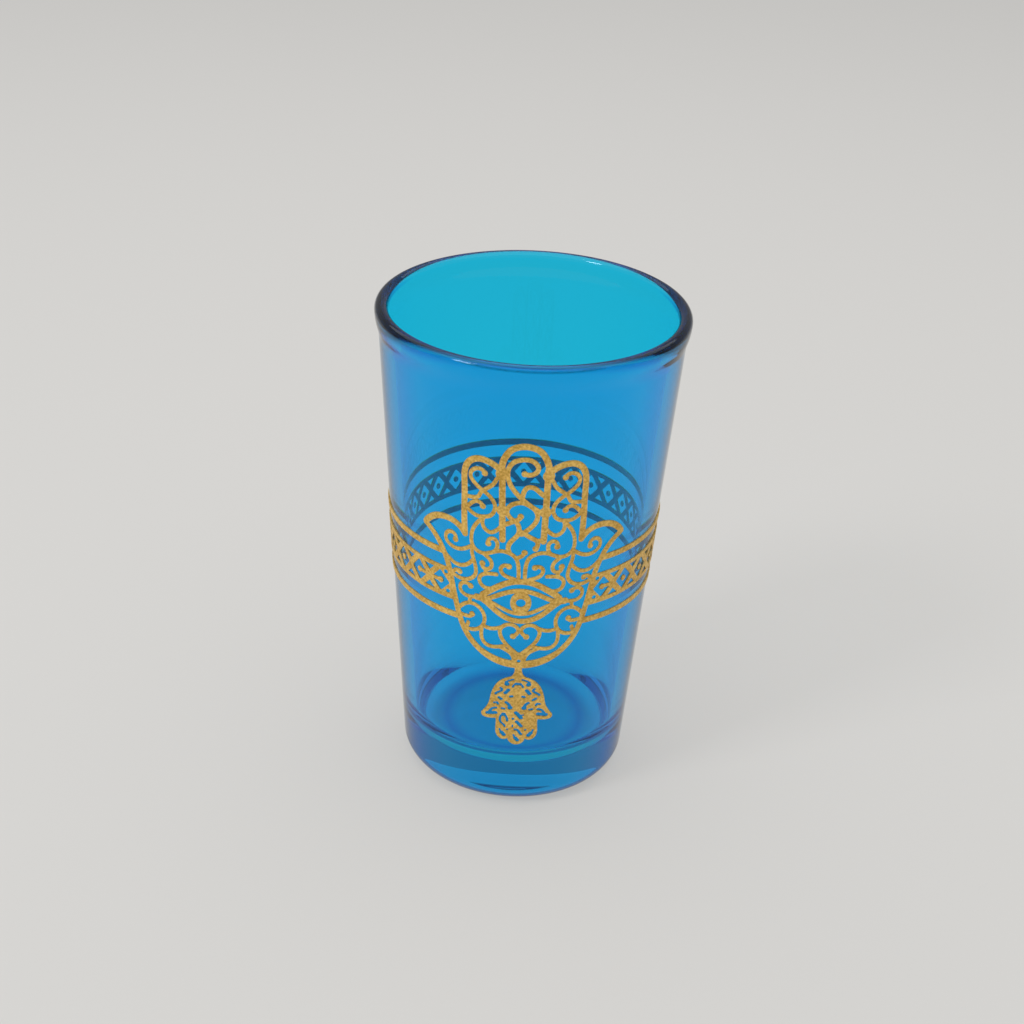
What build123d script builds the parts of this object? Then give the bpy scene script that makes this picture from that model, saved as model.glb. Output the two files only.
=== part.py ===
from build123d import *
import os
from math import cos, degrees, radians, sin, tan

# A tapered tea glass in blue glass, with a raised gold hand, its pendant and a lattice band.
# Millimetres. The glass stands on Z = 0 with its axis on Z, and the hand faces -Y.

# Sizes of the glass
glass_height = 95.0
rim_diameter = 56.7
wall_top_diameter = 55.8
base_diameter = 43.2
wall = 2.45
floor_thickness = 7.4
floor_fillet = 7.5
foot_fillet = 4.4
punt_diameter = 27.0
punt_depth = 0.3
bead_height = 6.0

# Sizes of the gold
relief = 0.25
outline_stroke = 1.15
spiral_stroke = 0.85
scroll_stroke = 0.72
ball_diameter = 1.1
lid_stroke = 0.9
lower_lid_stroke = 0.72
brow_stroke = 1.15
ridge_stroke = 1.05
corner_stroke = 1.3
iris_width = 3.8
iris_height = 4.7
pupil_diameter = 1.75
knuckle_diameter = 2.1
stalk_width = 2.0
stalk_hole = 0.7

# Where the ornament sits on the wall
ornament_foot = 15.35
ornament_margin = 14.95
ornament_lean = 0.8

# Sizes of the band, as heights on the drawing
band_line = 1.2
upper_line_height = 55.8
lower_line_height = 42.85
lattice_top = 52.6
lattice_bottom = 46.05
lattice_border = 0.85
lattice_count = 25
first_diamond = 15.4
diamond_width = 4.1
diamond_height = 4.65
diamond_rounding = 0.3
triangle_width = 2.5
triangle_height = 1.3
dot_diameter = 1.15
neck_width = 0.7
corner_opening = 0.9

base_radius = base_diameter / 2
wall_top_radius = wall_top_diameter / 2
rim_radius = rim_diameter / 2


# The drawing. Each point is (distance round the wall from the hand's middle line, height up the wall).
# A scroll starts at its curled end. Only the right half is drawn where the two halves mirror.
MIDDLE_ARCH = [(3.95, 74.6), (3.95, 76.4), (3.35, 78.0), (2.3, 79.3), (1.1, 79.85), (0, 80.0)]
SIDE_ARCH = [(10.5, 60.9), (10.7, 66), (10.7, 71), (10.65, 74), (9.9, 75.7), (8.4, 76.6), (6.8, 76.5),
             (5.4, 75.9), (4.0, 74.7)]
DIVIDER = [(3.95, 75.4), (3.85, 70), (3.6, 61)]
KNUCKLES = [(4.05, 74.3), (3.75, 67)]
THUMB_TOP = [(10.5, 60.9), (11.6, 62.2), (13.2, 63), (15, 63.1), (16.9, 62.5), (18.2, 61.5), (19.1, 60.4)]
HAND_SIDE = [(19.1, 60.4), (17.6, 59.4), (16.1, 57.9), (15, 56.2), (14.1, 54.2), (13.3, 51.4), (12.7, 48.4),
             (12, 45.4), (11.2, 42.5), (9.9, 39.6), (7.9, 37.15), (5.4, 35.25), (2.7, 34.2), (0, 33.9)]
HAND_FOOT = [(6.8, 36.3), (3.4, 34.75), (0, 34.3)]

MIDDLE_SPIRALS = [
    [(-0.1, 74.65), (0.9, 74.5), (1.85, 74.95), (2.2, 75.8), (1.75, 76.8), (0.7, 77.4), (-0.6, 77.4),
     (-1.9, 76.9), (-2.8, 75.7), (-3, 74.2), (-2.6, 72.6), (-1.8, 71.2), (-0.7, 69.9), (0.6, 68.7),
     (1.9, 67.7), (3.6, 66.6)],
    [(2.25, 59.5), (2.6, 60.3), (2.45, 61.1), (1.6, 61.65), (0.6, 62.3), (-0.5, 63)],
    [(-0.55, 66.05), (-0.75, 65.6), (-1.5, 65.1), (-2.4, 64.6), (-3.7, 64)],
]
MIDDLE_STROKES = [
    [(-0.35, 69.7), (-0.15, 71), (0.5, 71.95), (1.4, 72), (2.4, 71.3), (3.7, 70.2)],
    [(-1.75, 65.2), (-2.55, 65.9), (-2.95, 66.9), (-2.5, 68), (-1.4, 68.7), (-0.2, 68.85), (1, 68.3),
     (2, 67.4), (2.4, 66.2), (2.1, 65), (1.4, 64), (0.5, 63.1), (-0.3, 62.4)],
    [(-1.7, 65.2), (-1.05, 64.5), (-0.75, 63.5), (-0.85, 62.5), (-1.5, 61.5), (-2.25, 60.5), (-2.55, 59.4),
     (-2.35, 58.6)],
    [(2.4, 61.1), (3.7, 61.3)],
]

FINGER_SCROLLS = [
    [(7, 73.95), (7.4, 74.5), (8.2, 74.7), (9.1, 74.3), (9.6, 73.4), (9.4, 72.5), (8.7, 71.6), (7.9, 70.9),
     (7.1, 70.35), (6.2, 69.65), (5.45, 68.75), (5.05, 67.6), (5.25, 66.5), (5.9, 65.6), (7, 65.2),
     (8.2, 65.15), (9.2, 65.6), (10.5, 66.8)],
    [(7.25, 67.3), (7.6, 67.85), (8.35, 68.1), (9.1, 67.75), (9.7, 67.1), (10.6, 66.3)],
]
FINGER_STROKES = [
    [(4, 74), (4.85, 73.2), (5.3, 72.3), (6.1, 71.4), (7, 70.7), (7.7, 69.9), (8.1, 69.1), (9, 68.75),
     (10.6, 68.75)],
    [(7, 65.2), (7.25, 64.3), (7.1, 63.3), (6.5, 62.5), (5.7, 62.2), (4.9, 62.6), (4.2, 63.3), (3.7, 64.1)],
]

THUMB_SCROLLS = [
    [(12.35, 59.1), (12.35, 59.85), (12.95, 60.4), (13.75, 60.3), (14.35, 59.6), (14.35, 58.7), (13.75, 57.9),
     (12.6, 57.35), (11.3, 57.4), (10.1, 57.95), (9.1, 58.7)],
]
THUMB_STROKES = [
    [(14.6, 55.7), (13.2, 54.5), (11.9, 53.95), (10.6, 54.15), (9.7, 54.75), (9, 55.6)],
]

PALM_SCROLLS = [
    [(6.1, 59.8), (6.05, 60.55), (5.4, 61), (4.7, 60.65), (4.45, 59.8), (4.6, 58.9), (5.1, 58.2)],
    [(2.3, 55.5), (3.05, 55.65), (3.7, 55.1), (3.65, 54.3), (3.1, 53.6), (2.3, 53.2), (1.3, 52.9)],
    [(7.1, 55.45), (7.05, 54.85), (6.45, 54.35), (5.75, 54.6), (5.4, 55.35), (5.55, 56.2), (6.1, 56.9),
     (7, 57.6)],
    [(11.45, 52.55), (12, 52.75), (12.6, 52.35), (13.3, 51.8)],
    [(9.25, 50.05), (9.9, 50.45), (10.8, 50.3), (11.3, 49.5), (11.1, 48.5), (10.3, 47.9), (9.2, 47.75),
     (8, 48), (6.8, 48.2)],
    [(8.85, 44), (9.2, 43.5), (10.1, 43.35), (11.4, 43.4)],
]
PALM_STROKES = [
    [(7, 65.2), (7.9, 64.1), (8.75, 62.8), (9.2, 61.3), (9.25, 59.9), (8.9, 58.7), (8, 57.85), (6.9, 57.6),
     (5.8, 57.9), (4.7, 58.4), (3.5, 58.6), (2.3, 58.3), (1.3, 57.6), (0.8, 56.5), (0.6, 55.2), (0.55, 54),
     (0.6, 52.7)],
    [(4.5, 53.55), (5.7, 53.5), (6.8, 53.2), (7.55, 52.4), (7.5, 51.4), (6.9, 50.6), (6, 50.3), (4.9, 50.6)],
    [(6.45, 54.4), (6.5, 53.3)],
    [(9.05, 58.4), (9, 56.8), (8.6, 55.4), (8.3, 54), (8.35, 52.9), (9.1, 51.8), (10.4, 51.2), (11.8, 51.3),
     (13.1, 52)],
    [(9.3, 47.7), (9.4, 46.4)],
    [(11.5, 44.7), (10.6, 45.7), (9.6, 46.3), (8.4, 46.3), (7.3, 45.6), (6.6, 44.4), (6.5, 43), (7, 41.7),
     (7.9, 40.9), (9, 40.6), (10.3, 40.8)],
    [(9.6, 42), (9.8, 41.3), (10.4, 40.6)],
]
PALM_HOOK = [(0.35, 58.6), (-0.1, 57.9), (-1.1, 57.4)]

BROW = [(6.9, 48.8), (5.6, 49.9), (4.2, 50.95), (2.6, 51.9), (1.2, 52.35), (0, 52.45)]
UPPER_LID = [(6.2, 48.05), (4.6, 48.85), (3, 49.7), (1.5, 50.25), (0, 50.45)]
LOWER_LID = [(6, 47.7), (4.4, 46.95), (3, 46.25), (1.5, 45.65), (0, 45.45)]
RIDGE = [(7.4, 47.9), (6.2, 47.2), (4.8, 46), (3.3, 44.85), (1.7, 44.1), (0, 43.85)]
EYE_CORNER = [(8, 48), (5.9, 47.9)]
IRIS = (0, 47.85)

HEART_SCROLL = [(1.2, 40.4), (0.55, 41), (0.25, 41.8), (0.85, 42.7), (1.9, 43), (2.9, 42.6), (3.55, 41.7),
                (3.5, 40.5), (2.9, 39.2), (2, 38.1), (1, 37.1), (0, 36.1)]
HEART_STROKES = [
    [(3.4, 42.2), (4.5, 41.75), (5.6, 41.65), (6.7, 42.1)],
    [(6.95, 41.5), (7.05, 40.2), (6.8, 38.9), (6.1, 38), (5, 37.65), (3.9, 37.75), (2.2, 38.3)],
    [(3.6, 37.8), (2.3, 37.2), (1.3, 36.3), (0.92, 35.2), (0.97, 34.2)],
]
STALK_TOP = (0, 35.8)
STALK_FOOT = (0, 34.6)
STALK_HOLE = (0, 34.9)

LINK_EDGE = [(0.75, 33.7), (0.65, 33), (0.82, 32), (1.5, 31.08)]
LINK_ENDS = [[(0, 33.7), (0.75, 33.7)], [(0, 31.08), (1.5, 31.08)]]
PENDANT_EDGE = [(6.7, 22.2), (5.9, 23.4), (5.35, 24.6), (5.05, 26.2), (4.5, 28.2), (3.5, 29.9), (1.9, 31),
                (0, 31.4)]
PENDANT_WING = [(6.7, 22.2), (6.5, 21.45), (5.6, 21.15), (3.95, 21.3)]
PENDANT_FINGER = [(3.95, 21.3), (3.95, 19), (3.7, 17.4), (2.9, 16.55), (1.6, 16.75)]
PENDANT_TIP = [(1.6, 16.75), (1.1, 15.75), (0, 15.3)]

# Openings of the pendant: curls as a width and a path, and round spots as a place and a diameter
PENDANT_PAIRED_CURLS = [
    (0.46, [(0.85, 30.6), (1.6, 30.32), (2.2, 29.95)]),
    (0.74, [(1.7, 28.12), (2.25, 27.35)]),
    (0.54, [(3.15, 28.45), (2.9, 28.02), (3.4, 27.55), (4.05, 26.95)]),
    (0.6, [(0.98, 26.68), (1.27, 26.62)]),
    (0.62, [(3.4, 26.2), (2.95, 25.85)]),
    (0.54, [(3.55, 24.65), (3.75, 24.97)]),
    (0.5, [(3.75, 24.97), (4.25, 24.85)]),
    (0.64, [(2.05, 25.18), (1.55, 24.72), (1.3, 24.1)]),
    (0.54, [(2.35, 23.65), (2.8, 23.72)]),
    (0.85, [(5.5, 22.2), (4.75, 22.35), (4, 22.5)]),
    (0.56, [(5.05, 22.75), (4.6, 23.4), (3.9, 23.68)]),
    (0.46, [(2.5, 22.4), (2.98, 21.9), (3.13, 21.1), (2.95, 20.4), (2.45, 19.95), (2.2, 19.5)]),
    (0.5, [(2.5, 22.4), (2, 21.9), (1.8, 21.3), (1.75, 20.85)]),
    (0.4, [(3.15, 18.75), (2.95, 18.3)]),
    (0.82, [(2.75, 18), (2.3, 17.45)]),
]
PENDANT_CURLS = [
    (0.44, [(-0.9, 28.9), (-0.68, 29.35), (0.05, 29.72), (0.75, 29.35), (0.97, 28.9)]),
    (0.66, [(-0.35, 29.6), (0.45, 29.6)]),
    (0.82, [(-0.15, 22.85), (0.35, 22.3), (0.8, 21.65)]),
    (0.4, [(0.7, 22.2), (1.15, 22.35)]),
    (0.68, [(0, 20.75), (0.35, 20.35), (0.88, 19.68)]),
    (0.3, [(-0.72, 19.9), (-0.76, 19.45)]),
    (0.56, [(-0.25, 18.85), (0.32, 18.65), (0.6, 18.2), (0.95, 17.75)]),
    (0.4, [(-0.5, 17.55), (-0.3, 17.1)]),
    (0.78, [(-0.15, 16.85), (0.28, 16.3)]),
]
PENDANT_PAIRED_SPOTS = [((2, 29.5), 1), ((1.3, 24), 1), ((5, 22.6), 0.85), ((2.45, 22.3), 0.95),
                        ((1.7, 18.8), 0.5)]
PENDANT_SPOTS = [((-0.67, 21.4), 0.6)]

# Small openings of the lattice where it meets the hand
CORNER_OPENINGS = [(14.3, 51.5), (13.85, 47.5)]

# The diamonds whose dot is tied to the lattice by a neck, and the side that the neck is on
TIED_DOTS = {0: 1, lattice_count - 2: 1, lattice_count - 1: -1}

# The drawing is fitted between the ornament's foot and its margin below the rim.
drawn_foot = PENDANT_TIP[-1][1]
drawn_top = MIDDLE_ARCH[-1][1]
drawing_scale = (glass_height - ornament_margin - ornament_foot) / (drawn_top - drawn_foot)
samples_per_span = 4
reach = rim_diameter


def outer_radius(height):
    return base_radius + (wall_top_radius - base_radius) * height / glass_height


def up_the_wall(drawn_height):
    return ornament_foot + (drawn_height - drawn_foot) * drawing_scale


def front_view(drawn):
    """The place of a drawn point, seen from straight in front, with the ornament's slight lean."""
    height = up_the_wall(drawn[1])
    radius = outer_radius(height)
    round_the_wall = (drawn[0] - (drawn[1] - IRIS[1]) * tan(radians(ornament_lean))) * drawing_scale
    return (radius * sin(round_the_wall / radius), height)


def narrowing(drawn):
    """How much narrower a mark looks from the front because the wall turns away there."""
    return cos(drawn[0] * drawing_scale / outer_radius(up_the_wall(drawn[1])))


def mirrored(points):
    return [(-x, y) for x, y in points]


def across(points):
    """A path that ends on the middle line, carried on as its own mirror image."""
    return points + mirrored(points)[-2::-1]


def both(paths):
    return paths + [mirrored(path) for path in paths]


def disc(place, diameter):
    with BuildSketch(Plane.XY) as spot:
        with Locations(front_view(place)):
            Ellipse(diameter / 2 * narrowing(place), diameter / 2)
    return spot.sketch


def stroke(points, width):
    """A line of even width along a smooth curve through the drawn points, with round ends."""
    path = Edge.make_spline(points) if len(points) > 2 else Edge.make_line(*points)
    steps = samples_per_span * (len(points) - 1)
    sides = ([], [])
    for step in range(steps + 1):
        place = path @ (step / steps)
        half = (path % (step / steps)).rotate(Axis.Z, 90) * (width / drawing_scale / 2)
        for side, edge in zip(sides, (place + half, place - half)):
            side.append(front_view((edge.X, edge.Y)))
    with BuildSketch(Plane.XY) as ribbon:
        with BuildLine():
            Spline(*sides[0])
            Spline(*sides[1])
            Line(sides[0][0], sides[1][0])
            Line(sides[0][-1], sides[1][-1])
        make_face()
    return [ribbon.sketch, disc(points[0], width), disc(points[-1], width)]


def strokes(paths, width):
    return [shape for path in paths for shape in stroke(path, width)]


def scrolls(paths, width):
    """Strokes whose first end curls up into a small ball."""
    return strokes(paths, width) + [disc(path[0], ball_diameter) for path in paths]


def closed_edge(paths):
    """A flat shape bounded by smooth runs that meet end to end."""
    with BuildSketch(Plane.XY) as shape:
        with BuildLine():
            for path in paths:
                Spline(*[front_view(point) for point in path])
        make_face()
    return shape.sketch


def curls(openings):
    return [shape for width, path in openings for shape in stroke(path, width)]


def spots(openings):
    return [disc(place, diameter) for place, diameter in openings]


def band_ring(drawn_height):
    """A plain gold line round the wall."""
    middle = up_the_wall(drawn_height)
    return wall_layer(middle - band_line / 2, middle + band_line / 2)


def wall_layer(bottom, top):
    """A ring of gold on the wall between two heights."""
    with BuildPart() as layer:
        with BuildSketch(Plane.XZ):
            with BuildLine():
                Polyline(
                    (outer_radius(bottom), bottom),
                    (outer_radius(bottom) + relief, bottom),
                    (outer_radius(top) + relief, top),
                    (outer_radius(top), top),
                    close=True,
                )
            make_face()
        revolve(axis=Axis.Z)
    return layer.part


os.makedirs("parts", exist_ok=True)

# The glass, turned about its axis
bead_foot = glass_height - bead_height
inner_bead_foot = (outer_radius(bead_foot) - wall, bead_foot)
foot_corner = (base_radius, 0)
floor_corner = (outer_radius(floor_thickness) - wall, floor_thickness)
rim_outside = (rim_radius, glass_height - wall / 2)
rim_top = (rim_radius - wall / 2, glass_height)
rim_inside = (rim_radius - wall, glass_height - wall / 2)
wall_slope = (wall_top_radius - base_radius, glass_height)
with BuildPart() as glass_tumbler:
    with BuildSketch(Plane.XZ) as profile:
        with BuildLine():
            TangentArc((0, punt_depth), (punt_diameter / 2, 0), tangent=(1, 0))
            Line((punt_diameter / 2, 0), foot_corner)
            Line(foot_corner, (outer_radius(bead_foot), bead_foot))
            Spline((outer_radius(bead_foot), bead_foot), rim_outside, tangents=[wall_slope, (0, 1)])
            TangentArc(rim_outside, rim_top, tangent=(0, 1))
            TangentArc(rim_top, rim_inside, tangent=(-1, 0))
            Spline(rim_inside, inner_bead_foot, tangents=[(0, -1), (-wall_slope[0], -wall_slope[1])])
            Line(inner_bead_foot, floor_corner)
            Line(floor_corner, (0, floor_thickness))
            Line((0, floor_thickness), (0, punt_depth))
        make_face()
        fillet(profile.vertices().sort_by_distance(foot_corner)[0], radius=foot_fillet)
        fillet(profile.vertices().sort_by_distance(floor_corner)[0], radius=floor_fillet)
    revolve(axis=Axis.Z)
glass_tumbler.part.label = "glass_tumbler"
export_step(glass_tumbler.part, "parts/glass_tumbler.step")

# The gold layer that every motif of the hand is cut from. Each motif is cut back by those laid before it.
hand_layer = wall_layer(ornament_foot - outline_stroke, glass_height - ornament_margin + outline_stroke)

# The raised line round the hand, with the lines between its fingers, thicker where scrolls join them
with BuildPart() as hand_outline:
    with BuildSketch(Plane.XZ) as outline_drawing:
        add(strokes([across(MIDDLE_ARCH), across(HAND_SIDE), across(HAND_FOOT)], outline_stroke))
        add(strokes(both([SIDE_ARCH, DIVIDER, THUMB_TOP]), outline_stroke))
        add([disc(place, knuckle_diameter) for place in KNUCKLES + mirrored(KNUCKLES)])
        add(disc(STALK_HOLE, stalk_hole), mode=Mode.SUBTRACT)
    extrude(amount=reach)
    add(hand_layer, mode=Mode.INTERSECT)
hand_outline.part.label = "hand_outline"
export_step(hand_outline.part, "parts/hand_outline.step")
laid = [outline_drawing.sketch_local]

# The eye: brow, two lids, lower ridge, and an iris with an open pupil
with BuildPart() as eye:
    with BuildSketch(Plane.XZ) as eye_drawing:
        add(stroke(across(BROW), brow_stroke))
        add(stroke(across(UPPER_LID), lid_stroke))
        add(stroke(across(LOWER_LID), lower_lid_stroke))
        add(stroke(across(RIDGE), ridge_stroke))
        add(strokes(both([EYE_CORNER]), corner_stroke))
        with Locations(front_view(IRIS)):
            Ellipse(iris_width / 2, iris_height / 2)
            Circle(pupil_diameter / 2, mode=Mode.SUBTRACT)
    extrude(amount=reach)
    add(hand_layer, mode=Mode.INTERSECT)
eye.part.label = "eye"
export_step(eye.part, "parts/eye.step")
laid.append(eye_drawing.sketch_local)

# The scrolls of the outer fingers, right and left
sides = (("right", list), ("left", mirrored))
for side, turned in sides:
    with BuildPart() as finger_scrolls:
        with BuildSketch(Plane.XZ) as finger_drawing:
            add(scrolls([turned(path) for path in FINGER_SCROLLS], scroll_stroke))
            add(strokes([turned(path) for path in FINGER_STROKES], scroll_stroke))
            add(laid[0], mode=Mode.SUBTRACT)
        extrude(amount=reach)
        add(hand_layer, mode=Mode.INTERSECT)
    finger_scrolls.part.label = f"{side}_finger_scrolls"
    export_step(finger_scrolls.part, f"parts/{side}_finger_scrolls.step")
    laid.append(finger_drawing.sketch_local)

# The scrolls of the palm
with BuildPart() as palm_scrolls:
    with BuildSketch(Plane.XZ) as palm_drawing:
        add(scrolls(both(PALM_SCROLLS) + [PALM_HOOK], scroll_stroke))
        add(strokes(both(PALM_STROKES), scroll_stroke))
        add(laid, mode=Mode.SUBTRACT)
    extrude(amount=reach)
    add(hand_layer, mode=Mode.INTERSECT)
palm_scrolls.part.label = "palm_scrolls"
export_step(palm_scrolls.part, "parts/palm_scrolls.step")
laid.append(palm_drawing.sketch_local)

# The heart under the eye, on a stalk that stands on the hand's lower edge
with BuildPart() as heart_scroll:
    with BuildSketch(Plane.XZ) as heart_drawing:
        add(scrolls(both([HEART_SCROLL]), scroll_stroke))
        add(strokes(both(HEART_STROKES), scroll_stroke))
        add(stroke([STALK_TOP, STALK_FOOT], stalk_width))
        add(disc(STALK_HOLE, stalk_hole), mode=Mode.SUBTRACT)
        add(laid, mode=Mode.SUBTRACT)
    extrude(amount=reach)
    add(hand_layer, mode=Mode.INTERSECT)
heart_scroll.part.label = "heart_scroll"
export_step(heart_scroll.part, "parts/heart_scroll.step")
laid.append(heart_drawing.sketch_local)

# The spirals of the middle finger, which don't mirror
with BuildPart() as middle_finger_scrolls:
    with BuildSketch(Plane.XZ):
        add(scrolls(MIDDLE_SPIRALS, spiral_stroke))
        add(strokes(MIDDLE_STROKES, spiral_stroke))
        add(laid, mode=Mode.SUBTRACT)
    extrude(amount=reach)
    add(hand_layer, mode=Mode.INTERSECT)
middle_finger_scrolls.part.label = "middle_finger_scrolls"
export_step(middle_finger_scrolls.part, "parts/middle_finger_scrolls.step")

# The scrolls of the thumbs, right and left
for side, turned in sides:
    with BuildPart() as thumb_scrolls:
        with BuildSketch(Plane.XZ):
            add(scrolls([turned(path) for path in THUMB_SCROLLS], scroll_stroke))
            add(strokes([turned(path) for path in THUMB_STROKES], scroll_stroke))
            add(laid, mode=Mode.SUBTRACT)
        extrude(amount=reach)
        add(hand_layer, mode=Mode.INTERSECT)
    thumb_scrolls.part.label = f"{side}_thumb_scrolls"
    export_step(thumb_scrolls.part, f"parts/{side}_thumb_scrolls.step")

# The small pierced hand that hangs upside down under the large one
with BuildPart() as pendant_hand:
    with BuildSketch(Plane.XZ) as pendant_drawing:
        add(closed_edge([across(PENDANT_EDGE), across(PENDANT_TIP)] + both([PENDANT_WING, PENDANT_FINGER])))
        add(curls(PENDANT_CURLS + PENDANT_PAIRED_CURLS), mode=Mode.SUBTRACT)
        add(curls([(width, mirrored(path)) for width, path in PENDANT_PAIRED_CURLS]), mode=Mode.SUBTRACT)
        add(spots(PENDANT_SPOTS + PENDANT_PAIRED_SPOTS), mode=Mode.SUBTRACT)
        add(spots([((-x, y), size) for (x, y), size in PENDANT_PAIRED_SPOTS]), mode=Mode.SUBTRACT)
    extrude(amount=reach)
    add(hand_layer, mode=Mode.INTERSECT)
pendant_hand.part.label = "pendant_hand"
export_step(pendant_hand.part, "parts/pendant_hand.step")

# The waisted link between the two hands
with BuildPart() as pendant_link:
    with BuildSketch(Plane.XZ):
        add(closed_edge(both([LINK_EDGE] + LINK_ENDS)))
        add(laid, mode=Mode.SUBTRACT)
        add(pendant_drawing.sketch_local, mode=Mode.SUBTRACT)
    extrude(amount=reach)
    add(hand_layer, mode=Mode.INTERSECT)
pendant_link.part.label = "pendant_link"
export_step(pendant_link.part, "parts/pendant_link.step")

# The inside of the hand, up to the tips of the thumbs, where the band round the glass stops
with BuildSketch(Plane.XZ) as hand_inside:
    with BuildLine():
        Spline(*[front_view(point) for point in across(HAND_SIDE)])
        Line(front_view(HAND_SIDE[0]), front_view(mirrored(HAND_SIDE)[0]))
    make_face()
    add(outline_drawing.sketch_local)

# The two plain lines of the band
with BuildPart() as band_upper_line:
    add(band_ring(upper_line_height))
    extrude(hand_inside.sketch, amount=reach, mode=Mode.SUBTRACT)
band_upper_line.part.label = "band_upper_line"
export_step(band_upper_line.part, "parts/band_upper_line.step")

with BuildPart() as band_lower_line:
    add(band_ring(lower_line_height))
    extrude(hand_inside.sketch, amount=reach, mode=Mode.SUBTRACT)
band_lower_line.part.label = "band_lower_line"
export_step(band_lower_line.part, "parts/band_lower_line.step")

# The lattice strip: a ring with a row of diamonds, and a small triangle above and below each crossing
lattice_layer = wall_layer(up_the_wall(lattice_bottom), up_the_wall(lattice_top))
lattice_middle = up_the_wall((lattice_bottom + lattice_top) / 2)
first_angle = degrees(first_diamond * drawing_scale / outer_radius(lattice_middle))
lattice_step = (360 - 2 * first_angle) / (lattice_count - 1)
triangle_base = (lattice_top - lattice_bottom) * drawing_scale / 2 - lattice_border


def lattice_plane(position):
    """A plane on the glass's axis that faces out through one place of the lattice."""
    turn = radians(first_angle + position * lattice_step)
    return Plane((0, 0, lattice_middle), x_dir=(cos(turn), sin(turn), 0), z_dir=(sin(turn), -cos(turn), 0))


def diamond():
    with BuildSketch(Plane.XY) as opening:
        with BuildLine():
            Polyline(
                (diamond_width / 2, 0),
                (0, diamond_height / 2),
                (-diamond_width / 2, 0),
                (0, -diamond_height / 2),
                close=True,
            )
        make_face()
        fillet(opening.vertices(), radius=diamond_rounding)
    return opening.sketch


free_planes = [lattice_plane(position) for position in range(lattice_count) if position not in TIED_DOTS]
crossing_planes = [lattice_plane(position + 0.5) for position in range(lattice_count - 1)]
with BuildPart() as band_lattice:
    add(lattice_layer)
    with BuildSketch(*free_planes):
        add(diamond())
    extrude(amount=reach, mode=Mode.SUBTRACT)
    for position, neck_side in TIED_DOTS.items():
        with BuildSketch(lattice_plane(position)):
            add(diamond())
            Circle(dot_diameter / 2, mode=Mode.SUBTRACT)
            with Locations((neck_side * diamond_width / 4, 0)):
                Rectangle(diamond_width / 2, neck_width, mode=Mode.SUBTRACT)
        extrude(amount=reach, mode=Mode.SUBTRACT)
    with BuildSketch(*crossing_planes):
        for upward in (1, -1):
            with BuildLine():
                Polyline(
                    (triangle_width / 2, upward * triangle_base),
                    (0, upward * (triangle_base - triangle_height)),
                    (-triangle_width / 2, upward * triangle_base),
                    close=True,
                )
            make_face()
    extrude(amount=reach, mode=Mode.SUBTRACT)
    with BuildSketch(Plane.XZ):
        for place in CORNER_OPENINGS + mirrored(CORNER_OPENINGS):
            add(disc(place, corner_opening))
        add(hand_inside.sketch_local)
    extrude(amount=reach, mode=Mode.SUBTRACT)
band_lattice.part.label = "band_lattice"
export_step(band_lattice.part, "parts/band_lattice.step")

# A free dot in each of the remaining diamonds
with BuildPart() as lattice_dots:
    with BuildSketch(*free_planes):
        Circle(dot_diameter / 2)
    extrude(amount=reach)
    add(lattice_layer, mode=Mode.INTERSECT)
lattice_dots.part.label = "lattice_dots"
export_step(lattice_dots.part, "parts/lattice_dots.step")
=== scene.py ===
import math

import bpy
from mathutils import Matrix, Vector


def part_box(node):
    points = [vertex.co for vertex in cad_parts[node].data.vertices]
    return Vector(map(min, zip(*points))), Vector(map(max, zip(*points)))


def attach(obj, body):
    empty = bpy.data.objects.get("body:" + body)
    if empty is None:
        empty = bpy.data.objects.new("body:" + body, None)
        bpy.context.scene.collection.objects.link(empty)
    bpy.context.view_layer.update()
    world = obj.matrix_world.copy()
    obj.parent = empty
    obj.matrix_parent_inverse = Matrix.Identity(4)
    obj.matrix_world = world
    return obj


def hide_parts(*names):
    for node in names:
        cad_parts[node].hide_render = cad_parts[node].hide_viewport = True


# A blue tea glass with a raised gold hand ornament and a gold band, on a pale floor.
# Lengths are metres in the CAD frame: the glass stands on Z = 0 and the hand faces -Y.

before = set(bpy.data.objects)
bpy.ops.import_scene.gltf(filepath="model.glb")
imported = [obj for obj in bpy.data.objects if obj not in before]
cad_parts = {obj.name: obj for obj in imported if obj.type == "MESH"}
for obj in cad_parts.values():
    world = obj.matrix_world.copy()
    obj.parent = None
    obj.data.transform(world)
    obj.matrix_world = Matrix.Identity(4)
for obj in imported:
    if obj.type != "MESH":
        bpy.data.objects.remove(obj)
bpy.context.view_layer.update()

MM = 0.001

# The shape of the glass. Its outside bites a little way into the gold, so that no gap shows between them.
glass_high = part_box("glass_tumbler")[1]
glass_height = glass_high.z
rim_radius = glass_high.x
wall_top_radius = 27.9 * MM
base_radius = 21.6 * MM
wall = 2.45 * MM
floor_thickness = 7.4 * MM
floor_fillet = 7.5 * MM
foot_fillet = 4.4 * MM
punt_radius = 13.5 * MM
punt_depth = 0.3 * MM
bead_height = 6.0 * MM
enamel_bite = 0.03 * MM

# How finely the glass is turned: steps round it, and along each curve of its profile
lathe_steps = 256
punt_steps = 8
fillet_steps = 14
bead_steps = 8
rim_steps = 16

# The colour of the glass: a tint at its surface, and absorption in its body per metre.
# The tint deepens with how far the surface turns away from the eye: 0 is square on, 1 is edge on.
# The deepening is partly the longer path through the tint at a slant and mostly painted shade on the edges,
# with more painted shade on the outside of the rim and in a ring on the floor of the glass.
glass_tint = (0.045, 0.69, 1.0, 1)
# The next two colours are painted shade, blended in as the surface turns away from the eye.
deep_shade_tint = (0.025, 0.3, 0.85, 1)
edge_shade_tint = (0.035, 0.025, 0.07, 1)
edge_start = 0.42
edge_middle = 0.64
edge_end = 0.85
# Painted shade added on the top and outside of the rim.
rim_shade = 0.65
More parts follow.
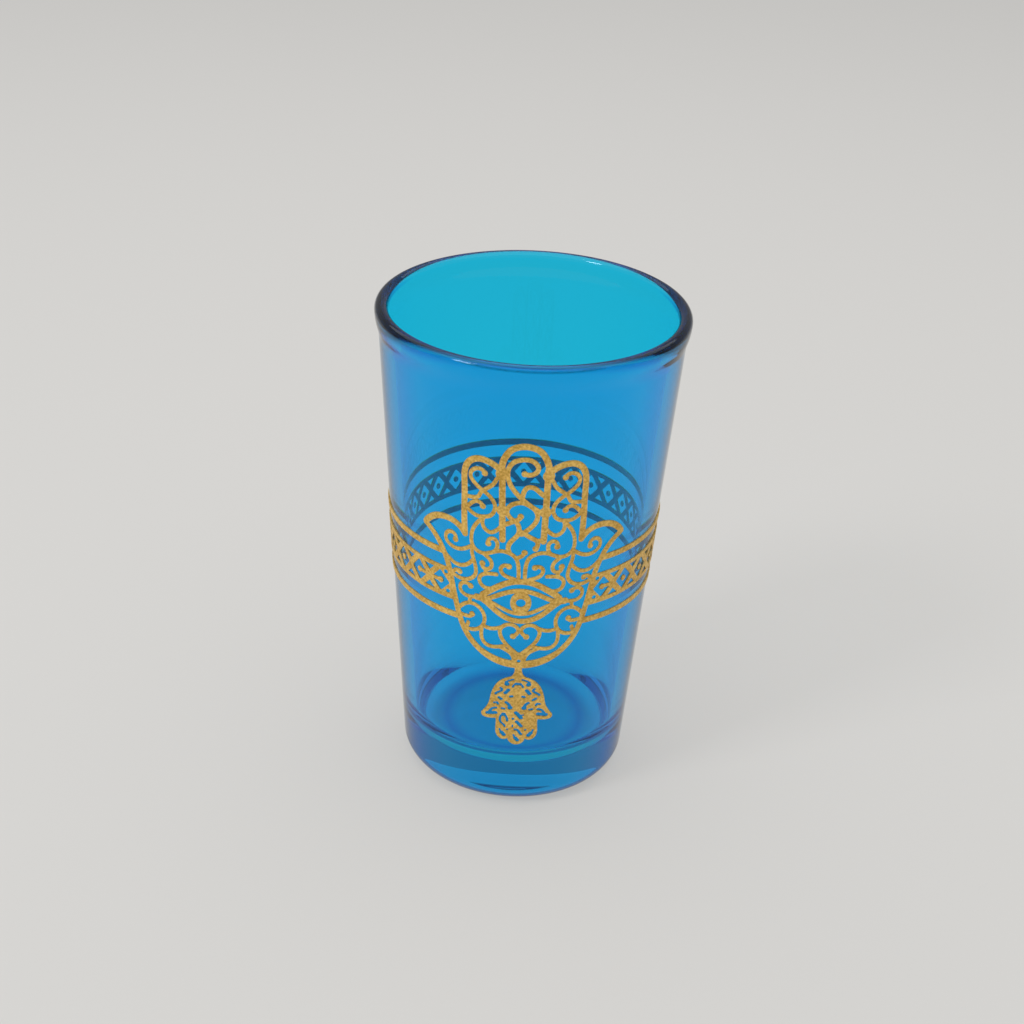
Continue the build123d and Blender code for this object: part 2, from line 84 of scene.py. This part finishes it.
# A painted dark ring of shade on the floor of the glass: its radius, its width and how deep it goes in the
# tint.
floor_shade_ring_radius = 13.4 * MM
floor_shade_ring_width = 5.0 * MM
floor_shade_ring_depth = 0.66
glass_absorbs = 300.0
glass_passes = (0.0, 0.955, 0.988, 1)
glass_shine = (0.4, 0.55, 0.7, 1)
glass_ior = 1.5
wave_size = 14 * MM
wave_detail = 1
wave_depth = 0.03 * MM

# The gold: a grainy enamel, paler underneath where it shows through the glass
gold_dark = (0.6, 0.34, 0.055, 1)
gold_light = (1.0, 0.66, 0.18, 1)
underside_colour = (0.9, 0.9, 0.75, 1)
gold_metal = 0.6
gold_smooth = 0.35
gold_rough = 0.6
grain_size = 0.45 * MM
patch_size = 2.5 * MM
patch_share = 0.35
grain_detail = 2
grain_low = 0.36
grain_high = 0.64
grain_depth = 0.02 * MM

# The camera, fitted to the photograph. Its frame is 1024 pixels square, and its sensor is in millimetres.
frame_pixels = 1024
focal_pixels = 1720.4
sensor_width = 36.0
near_limit = 0.01
far_limit = 20.0
eye_distance = 326.1 * MM
eye_elevation = math.radians(28.73)
eye_roll = math.radians(2.74)
eye_azimuth = math.radians(-0.4)
eye_target = Vector((-2.16 * MM, 0, 52.63 * MM))

# The stage: a floor just under the glass, an even world and two soft lamps
floor_size = 6.0
floor_drop = 0.05 * MM
floor_colour = (0.67, 0.66, 0.64, 1)
floor_roughness = 0.9
floor_glow = 0.6
world_colour = (1.0, 1.0, 1.0, 1)
world_strength = 0.36
light_bounces = 32
lamp_aim = (0, 0, 0.05)
top_place = (0, 0.05, 0.55)
top_size = 1.0
top_power = 3.0
key_place = (-0.7, -0.5, 0.8)
key_width = 0.25
key_height = 0.3
key_power = 3.6


# Meshes

def add_mesh(name, vertices, faces):
    mesh = bpy.data.meshes.new(name)
    mesh.from_pydata(vertices, [], faces)
    mesh.update()
    piece = bpy.data.objects.new(name, mesh)
    bpy.context.scene.collection.objects.link(piece)
    return piece


def shade_smooth(piece):
    piece.data.polygons.foreach_set("use_smooth", [True] * len(piece.data.polygons))
    piece.data.update()


def lathe(name, profile, steps):
    """A solid of revolution about Z from (radius, height) points that start and end on the axis."""
    vertices = [(0, 0, profile[0][1]), (0, 0, profile[-1][1])]
    rings = profile[1:-1]
    for step in range(steps):
        turn = 2 * math.pi * step / steps
        vertices += [(r * math.cos(turn), r * math.sin(turn), z) for r, z in rings]
    count = len(rings)
    faces = []
    for step in range(steps):
        here = 2 + step * count
        there = 2 + (step + 1) % steps * count
        faces.append((0, there, here))
        for k in range(count - 1):
            faces.append((here + k, there + k, there + k + 1, here + k + 1))
        faces.append((1, here + count - 1, there + count - 1))
    return add_mesh(name, vertices, faces)


def arc(centre, radius, start, end, steps):
    """Points on a circular arc, with angles in degrees."""
    points = []
    for k in range(steps + 1):
        angle = math.radians(start + (end - start) * k / steps)
        points.append((centre[0] + radius * math.cos(angle), centre[1] + radius * math.sin(angle)))
    return points


def bend(start, start_slope, end, end_slope, steps):
    """Points on a smooth curve between two points with given slopes at its ends."""
    points = []
    for k in range(steps + 1):
        t = k / steps
        weights = (2 * t**3 - 3 * t**2 + 1, t**3 - 2 * t**2 + t, 3 * t**2 - 2 * t**3, t**3 - t**2)
        terms = zip(weights, (start, start_slope, end, end_slope))
        mixed = [(weight * x, weight * y) for weight, (x, y) in terms]
        points.append((sum(x for x, _ in mixed), sum(y for _, y in mixed)))
    return points


# The profile of the glass, as points of radius and height

taper = (wall_top_radius - base_radius) / glass_height
lean = math.degrees(math.atan(taper))


def outer_radius(height):
    return base_radius + enamel_bite + taper * height


def inner_radius(height):
    return base_radius + taper * height - wall


def foot_profile():
    """The hollow under the base, and the foot's round that touches the ground and the leaning wall."""
    punt_curve = (punt_radius**2 + punt_depth**2) / (2 * punt_depth)
    punt_angle = math.degrees(math.asin(punt_radius / punt_curve))
    hollow = arc((0, punt_depth - punt_curve), punt_curve, 90, 90 - punt_angle, punt_steps)
    foot_centre = outer_radius(foot_fillet) - foot_fillet / math.cos(math.radians(lean))
    return hollow + arc((foot_centre, foot_fillet), foot_fillet, -90, -lean, fillet_steps)


def rim_profile():
    """The flare outside, the round of the rim and the flare inside."""
    bead_foot = glass_height - bead_height
    rim_round = wall / 2
    rim_middle = glass_height - rim_round
    up_the_wall = (taper * bead_height, bead_height)
    down_the_wall = (-taper * bead_height, -bead_height)
    outside = bend((outer_radius(bead_foot), bead_foot), up_the_wall,
                   (rim_radius, rim_middle), (0, bead_height), bead_steps)
    top = arc((rim_radius - rim_round, rim_middle), rim_round, 0, 180, rim_steps)
    inside = bend((rim_radius - wall, rim_middle), (0, -bead_height),
                  (inner_radius(bead_foot), bead_foot), down_the_wall, bead_steps)
    return outside + top[1:] + inside[1:]


def floor_profile():
    """The round of the inner corner and the flat floor."""
    fillet_height = floor_thickness + floor_fillet
    fillet_centre = inner_radius(fillet_height) - floor_fillet / math.cos(math.radians(lean))
    corner = arc((fillet_centre, fillet_height), floor_fillet, -lean, -90, fillet_steps)
    return corner + [(0, floor_thickness)]


# Nodes of the materials

def new_material(name):
    material = bpy.data.materials.new(name)
    material.use_nodes = True
    return material, material.node_tree.nodes["Principled BSDF"]


def noise(material, size, detail):
    """Cloudy noise in the object's own coordinates, with features of a given size."""
    nodes, links = material.node_tree.nodes, material.node_tree.links
    place = nodes.new("ShaderNodeTexCoord")
    cloud = nodes.new("ShaderNodeTexNoise")
    cloud.inputs["Scale"].default_value = 1 / size
    cloud.inputs["Detail"].default_value = detail
    links.new(place.outputs["Object"], cloud.inputs["Vector"])
    return cloud.outputs["Fac"]


def ramp(material, factor, stops):
    """A colour that follows a factor through (position, colour) stops."""
    nodes, links = material.node_tree.nodes, material.node_tree.links
    tint = nodes.new("ShaderNodeValToRGB")
    points = tint.color_ramp.elements
    while len(points) < len(stops):
        points.new(stops[len(points) - 1][0])
    for point, (position, colour) in zip(points, stops):
        point.position = position
        point.color = colour
    links.new(factor, tint.inputs["Fac"])
    return tint.outputs["Color"]


def bump(material, shader, height, depth):
    nodes, links = material.node_tree.nodes, material.node_tree.links
    relief = nodes.new("ShaderNodeBump")
    relief.inputs["Distance"].default_value = depth
    links.new(height, relief.inputs["Height"])
    links.new(relief.outputs["Normal"], shader.inputs["Normal"])


def map_range(material, value, start, end, start_value, end_value):
    """A value between start and end, moved to between two others and held there."""
    nodes, links = material.node_tree.nodes, material.node_tree.links
    mapped = nodes.new("ShaderNodeMapRange")
    mapped.inputs["From Min"].default_value = start
    mapped.inputs["From Max"].default_value = end
    mapped.inputs["To Min"].default_value = start_value
    mapped.inputs["To Max"].default_value = end_value
    links.new(value, mapped.inputs["Value"])
    return mapped.outputs["Result"]


def combine(material, operation, first, second):
    nodes, links = material.node_tree.nodes, material.node_tree.links
    result = nodes.new("ShaderNodeMath")
    result.operation = operation
    links.new(first, result.inputs[0])
    links.new(second, result.inputs[1])
    return result.outputs["Value"]


def outwardness(material):
    """Positive where the surface looks away from the axis of the glass, negative where it looks at it."""
    nodes, links = material.node_tree.nodes, material.node_tree.links
    place = nodes.new("ShaderNodeTexCoord")
    from_axis = nodes.new("ShaderNodeVectorMath")
    from_axis.operation = "MULTIPLY"
    from_axis.inputs[1].default_value = (1, 1, 0)
    outward = nodes.new("ShaderNodeVectorMath")
    outward.operation = "DOT_PRODUCT"
    links.new(place.outputs["Object"], from_axis.inputs[0])
    links.new(from_axis.outputs["Vector"], outward.inputs[0])
    links.new(place.outputs["Normal"], outward.inputs[1])
    return outward.outputs["Value"]


def height_and_radius(material):
    """The height of a point of the glass, and its distance from the axis."""
    nodes, links = material.node_tree.nodes, material.node_tree.links
    place = nodes.new("ShaderNodeTexCoord")
    axes = nodes.new("ShaderNodeSeparateXYZ")
    links.new(place.outputs["Object"], axes.inputs["Vector"])
    flat = nodes.new("ShaderNodeCombineXYZ")
    length = nodes.new("ShaderNodeVectorMath")
    length.operation = "LENGTH"
    for axis in "XY":
        links.new(axes.outputs[axis], flat.inputs[axis])
    links.new(flat.outputs["Vector"], length.inputs[0])
    return axes.outputs["Z"], length.outputs["Value"]


# Materials

def floor_shade_ring(material):
    """A soft painted dark ring of shade on the floor of the glass, near where its flat part meets the round
    of its corner.
    """
    height, radius = height_and_radius(material)
    half = floor_shade_ring_width / 2
    rise = map_range(material, radius, floor_shade_ring_radius - half, floor_shade_ring_radius, 0, 1)
    fall = map_range(material, radius, floor_shade_ring_radius, floor_shade_ring_radius + half, 1, 0)
    above_base = map_range(material, height, floor_thickness / 2, floor_thickness, 0, 1)
    shade_ring = combine(material, "MULTIPLY", combine(material, "MULTIPLY", rise, fall), above_base)
    return map_range(material, shade_ring, 0, 1, edge_start, floor_shade_ring_depth)


def edge_shade_depth(material):
    """How far the outside and the rim turn away from the eye, with more added on the outside of the rim:
    the share of painted shade in the glass's tint.
    """
    turned_away = material.node_tree.nodes.new("ShaderNodeLayerWeight").outputs["Facing"]
    outside = map_range(material, outwardness(material), 0, rim_radius / 2, 0, 1)
    height = height_and_radius(material)[0]
    rim = map_range(material, height, glass_height - wall, glass_height - wall / 2, 0, 1)
    shade = map_range(material, height, glass_height - wall, glass_height, 0, rim_shade)
    shown = combine(material, "MULTIPLY", turned_away, combine(material, "MAXIMUM", outside, rim))
    return combine(material, "ADD", shown, combine(material, "MULTIPLY", shade, outside))


def blue_glass():
    """Clear glass that is darker where it turns away, partly from a longer path through the tint and mostly
    as painted shade, with painted shade on the outside of its rim and in a ring on its floor, and not quite
    even.
    """
    material, shader = new_material("blue_glass")
    shader.inputs["Roughness"].default_value = 0.0
    shader.inputs["IOR"].default_value = glass_ior
    shader.inputs["Transmission Weight"].default_value = 1.0
    shader.inputs["Specular Tint"].default_value = glass_shine
    nodes, links = material.node_tree.nodes, material.node_tree.links
    # The tint runs from the glass's own blue to painted shade at the edges.
    stops = [(edge_start, glass_tint), (edge_middle, deep_shade_tint), (edge_end, edge_shade_tint)]
    depth = combine(material, "MAXIMUM", edge_shade_depth(material), floor_shade_ring(material))
    links.new(ramp(material, depth, stops), shader.inputs["Base Color"])
    bump(material, shader, noise(material, wave_size, wave_detail), wave_depth)
    absorption = nodes.new("ShaderNodeVolumeAbsorption")
    absorption.inputs["Color"].default_value = glass_passes
    absorption.inputs["Density"].default_value = glass_absorbs
    links.new(absorption.outputs["Volume"], nodes["Material Output"].inputs["Volume"])
    return material


def satin_gold():
    """Gold enamel with a fine grain in its colour, gloss and relief."""
    material, shader = new_material("satin_gold")
    shader.inputs["Metallic"].default_value = gold_metal
    nodes, links = material.node_tree.nodes, material.node_tree.links
    blend = nodes.new("ShaderNodeMixRGB")
    blend.inputs["Fac"].default_value = patch_share
    links.new(noise(material, grain_size, grain_detail), blend.inputs["Color1"])
    links.new(noise(material, patch_size, grain_detail), blend.inputs["Color2"])
    grain = blend.outputs["Color"]
    underneath = map_range(material, outwardness(material), 0, -base_radius / 2, 0, 1)
    enamel = ramp(material, grain, [(grain_low, gold_dark), (grain_high, gold_light)])
    colour = nodes.new("ShaderNodeMixRGB")
    links.new(underneath, colour.inputs["Fac"])
    links.new(enamel, colour.inputs["Color1"])
    colour.inputs["Color2"].default_value = underside_colour
    links.new(colour.outputs["Color"], shader.inputs["Base Color"])
    links.new(map_range(material, grain, 0, 1, gold_rough, gold_smooth), shader.inputs["Roughness"])
    bump(material, shader, grain, grain_depth)
    return material


def pale_floor():
    """A matt floor that also glows a little, but only to the eye, straight or by way of glass and metal."""
    material, shader = new_material("pale_floor")
    shader.inputs["Base Color"].default_value = floor_colour
    shader.inputs["Roughness"].default_value = floor_roughness
    nodes, links = material.node_tree.nodes, material.node_tree.links
    ray = nodes.new("ShaderNodeLightPath")
    seen = ray.outputs["Is Camera Ray"]
    for kind in ("Is Transmission Ray", "Is Glossy Ray"):
        seen = combine(material, "MAXIMUM", seen, ray.outputs[kind])
    glow = nodes.new("ShaderNodeEmission")
    glow.inputs["Color"].default_value = floor_colour
    mix = nodes.new("ShaderNodeMixShader")
    links.new(map_range(material, seen, 0, 1, 0, floor_glow), mix.inputs["Fac"])
    links.new(shader.outputs["BSDF"], mix.inputs[1])
    links.new(glow.outputs["Emission"], mix.inputs[2])
    links.new(mix.outputs["Shader"], nodes["Material Output"].inputs["Surface"])
    return material


# The part: a finer glass in place of the CAD one, and gold on every other node

tumbler = lathe("tumbler", foot_profile() + rim_profile() + floor_profile(), lathe_steps)
shade_smooth(tumbler)
tumbler.data.materials.append(blue_glass())
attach(tumbler, "root")
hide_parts("glass_tumbler")

gold = satin_gold()
for name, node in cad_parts.items():
    if name != "glass_tumbler":
        node.data.materials.clear()
        node.data.materials.append(gold)


# The stage

def plain_floor():
    half = floor_size / 2
    corners = [(-half, -half), (half, -half), (half, half), (-half, half)]
    piece = add_mesh("floor", [(x, y, -floor_drop) for x, y in corners], [(0, 1, 2, 3)])
    piece.data.materials.append(pale_floor())


def soft_world():
    world = bpy.data.worlds.new("studio")
    world.use_nodes = True
    background = world.node_tree.nodes["Background"]
    background.inputs["Color"].default_value = world_colour
    background.inputs["Strength"].default_value = world_strength
    bpy.context.scene.world = world


def softbox(name, place, aim, width, height, power):
    """A soft lamp that isn't seen through the glass, where it would make hard bright streaks."""
    lamp = bpy.data.lights.new(name, "AREA")
    lamp.shape = "RECTANGLE"
    lamp.size = width
    lamp.size_y = height
    lamp.energy = power
    holder = bpy.data.objects.new(name, lamp)
    holder.location = place
    holder.rotation_mode = "QUATERNION"
    holder.rotation_quaternion = (Vector(aim) - Vector(place)).to_track_quat("-Z", "Y")
    holder.visible_transmission = False
    bpy.context.scene.collection.objects.link(holder)


def photo_camera():
    turn = Matrix.Rotation(eye_azimuth, 3, "Z")
    back = turn @ Vector((0, -math.cos(eye_elevation), math.sin(eye_elevation)))
    right = turn @ Vector((1, 0, 0))
    up = back.cross(right)
    rolled_right = math.cos(eye_roll) * right + math.sin(eye_roll) * up
    rolled_up = math.cos(eye_roll) * up - math.sin(eye_roll) * right
    lens = bpy.data.cameras.new("camera")
    lens.sensor_width = sensor_width
    lens.lens = focal_pixels / frame_pixels * sensor_width
    lens.clip_start = near_limit
    lens.clip_end = far_limit
    holder = bpy.data.objects.new("camera", lens)
    axes = Matrix((rolled_right, rolled_up, back)).transposed().to_4x4()
    holder.matrix_world = Matrix.Translation(eye_target + eye_distance * back) @ axes
    bpy.context.scene.collection.objects.link(holder)
    bpy.context.scene.camera = holder


plain_floor()
soft_world()
softbox("top_softbox", top_place, lamp_aim, top_size, top_size, top_power)
softbox("key_softbox", key_place, lamp_aim, key_width, key_height, key_power)
photo_camera()
bpy.context.scene.view_settings.view_transform = "Standard"
cycles = bpy.context.scene.cycles
cycles.max_bounces = light_bounces
cycles.glossy_bounces = light_bounces
cycles.transmission_bounces = light_bounces
